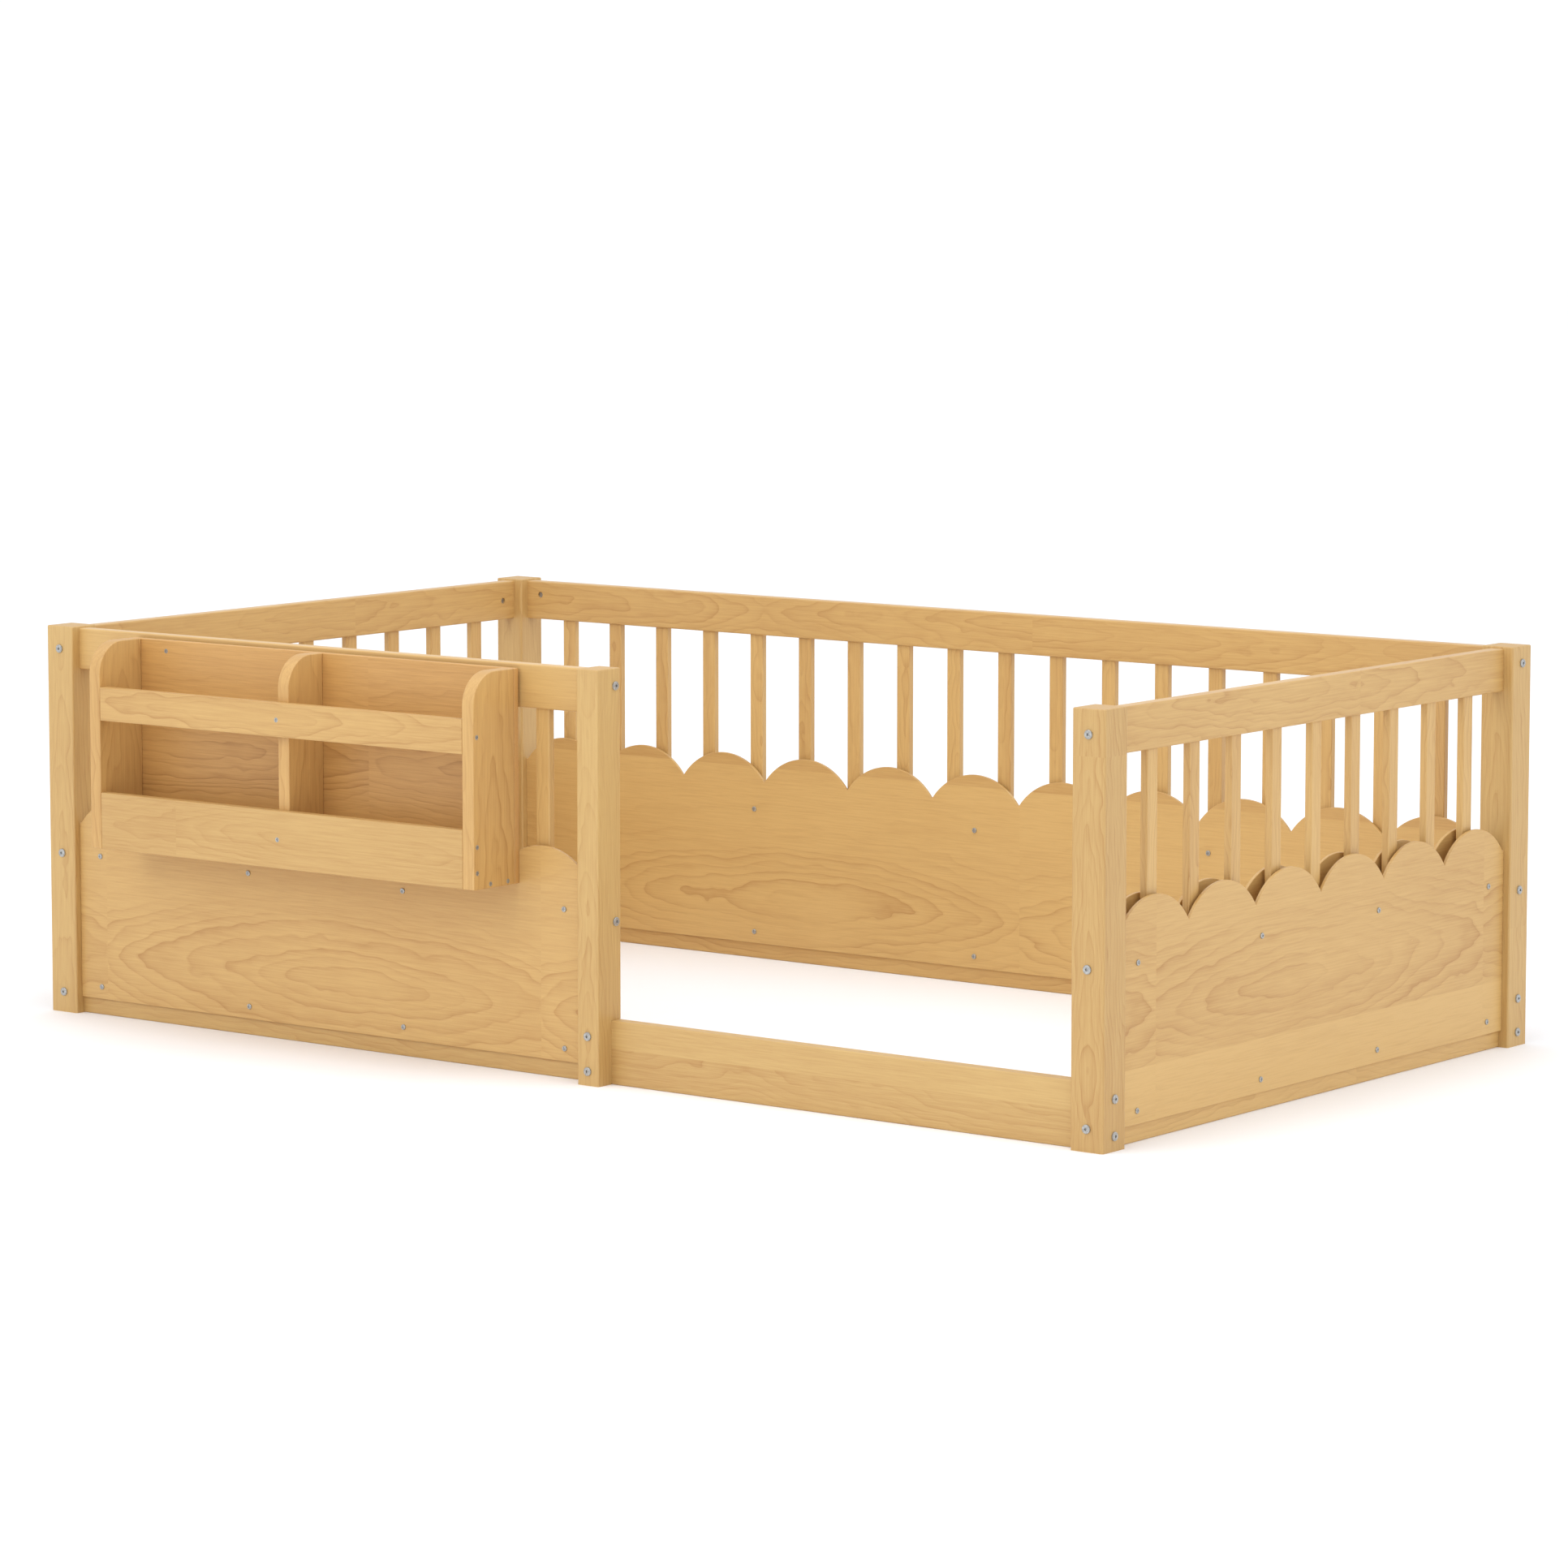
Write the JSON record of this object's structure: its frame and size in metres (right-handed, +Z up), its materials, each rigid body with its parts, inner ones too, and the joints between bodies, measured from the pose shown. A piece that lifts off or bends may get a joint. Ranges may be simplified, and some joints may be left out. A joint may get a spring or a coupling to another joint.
{
  "type": "playpen",
  "caption": "Rectangular wooden playpen with scalloped lower panels and upright bars, an open entrance at one end of the front and a shelf hung outside.",
  "frame": {"origin": "bottom centre of the whole object's box, on the floor, shelf included", "axes": "+X along the length towards the entrance end, +Y to the back, so the front with the shelf and the entrance faces -Y, +Z up"},
  "size_m": [2.0252, 1.2446, 0.615],
  "materials": {
    "wood_post": "clear satin, honey-toned solid wood",
    "wood_rail": "clear satin, honey-toned solid wood laid in staves",
    "wood_panel": "clear satin, edge-glued staves",
    "wood_bar": "clear satin, solid wood",
    "wood_shelf": "clear satin, solid wood",
    "steel_fastener": "zinc-plated, dull"
  },
  "bodies": {
    "root": {"bars_back_a": "wood_bar", "bars_back_b": "wood_bar", "bars_back_c": "wood_bar", "bars_back_d": "wood_bar", "bars_back_e": "wood_bar", "bars_back_f": "wood_bar", "bars_front_a": "wood_bar", "bars_front_b": "wood_bar", "bars_front_c": "wood_bar", "bars_left_a": "wood_bar", "bars_left_b": "wood_bar", "bars_left_c": "wood_bar", "bars_right_a": "wood_bar", "bars_right_b": "wood_bar", "bars_right_c": "wood_bar", "bolts_frame": "steel_fastener", "nuts_frame": "steel_fastener", "panel_back_inner": "wood_panel", "panel_front_outer": "wood_panel", "panel_left_inner": "wood_panel", "panel_left_outer": "wood_panel", "panel_right_inner": "wood_panel", "panel_right_outer": "wood_panel", "post_back_left": "wood_post", "post_back_right": "wood_post", "post_entrance": "wood_post", "post_front_left": "wood_post", "post_front_right": "wood_post", "rail_back_base": "wood_rail", "rail_back_middle": "wood_rail", "rail_back_top": "wood_rail", "rail_front_base": "wood_rail", "rail_front_middle": "wood_rail", "rail_front_top": "wood_rail", "rail_left_base": "wood_rail", "rail_left_middle": "wood_rail", "rail_left_top": "wood_rail", "rail_right_base": "wood_rail", "rail_right_middle": "wood_rail", "rail_right_top": "wood_rail", "screws_panel": "steel_fastener", "screws_shelf": "steel_fastener", "shelf_back": "wood_shelf", "shelf_bottom": "wood_shelf", "shelf_divider": "wood_shelf", "shelf_lower_board": "wood_shelf", "shelf_side_left": "wood_shelf", "shelf_side_right": "wood_shelf", "shelf_slat": "wood_shelf"}
  },
  "joints": []
}
